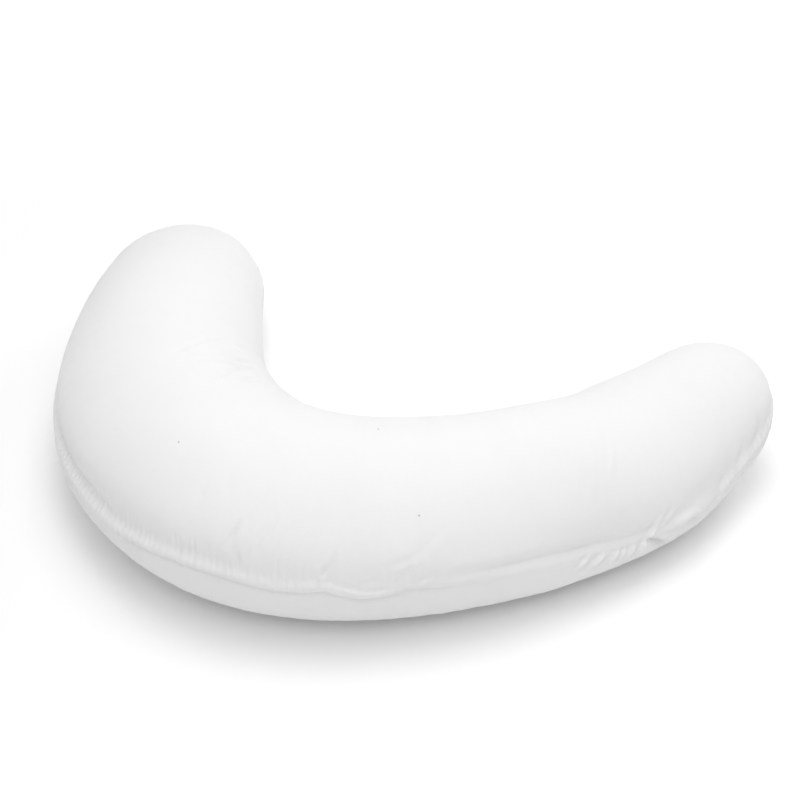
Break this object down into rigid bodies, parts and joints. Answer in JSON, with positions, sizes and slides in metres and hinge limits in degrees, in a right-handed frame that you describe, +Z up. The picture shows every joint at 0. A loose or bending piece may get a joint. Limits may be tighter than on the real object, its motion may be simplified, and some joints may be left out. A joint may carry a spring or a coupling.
{
  "type": "moon-shaped nursing pillow",
  "caption": "Long, well filled crescent pillow with a plain white cotton cover, seamed round its edge and lying flat, with a bay that goes round the body.",
  "frame": {"origin": "on the surface that the pillow lies on, under the middle of its bounding box", "axes": "+Z up out of the surface, +X along the pillow's longest extent towards the tip of the right arm, and the crescent's outer edge faces -Y and its bay +Y"},
  "size_m": [0.9916, 0.7958, 0.2491],
  "materials": {
    "cotton": "matt, plain-woven white cotton"
  },
  "bodies": {
    "root": {"pillow": "cotton"}
  },
  "joints": []
}
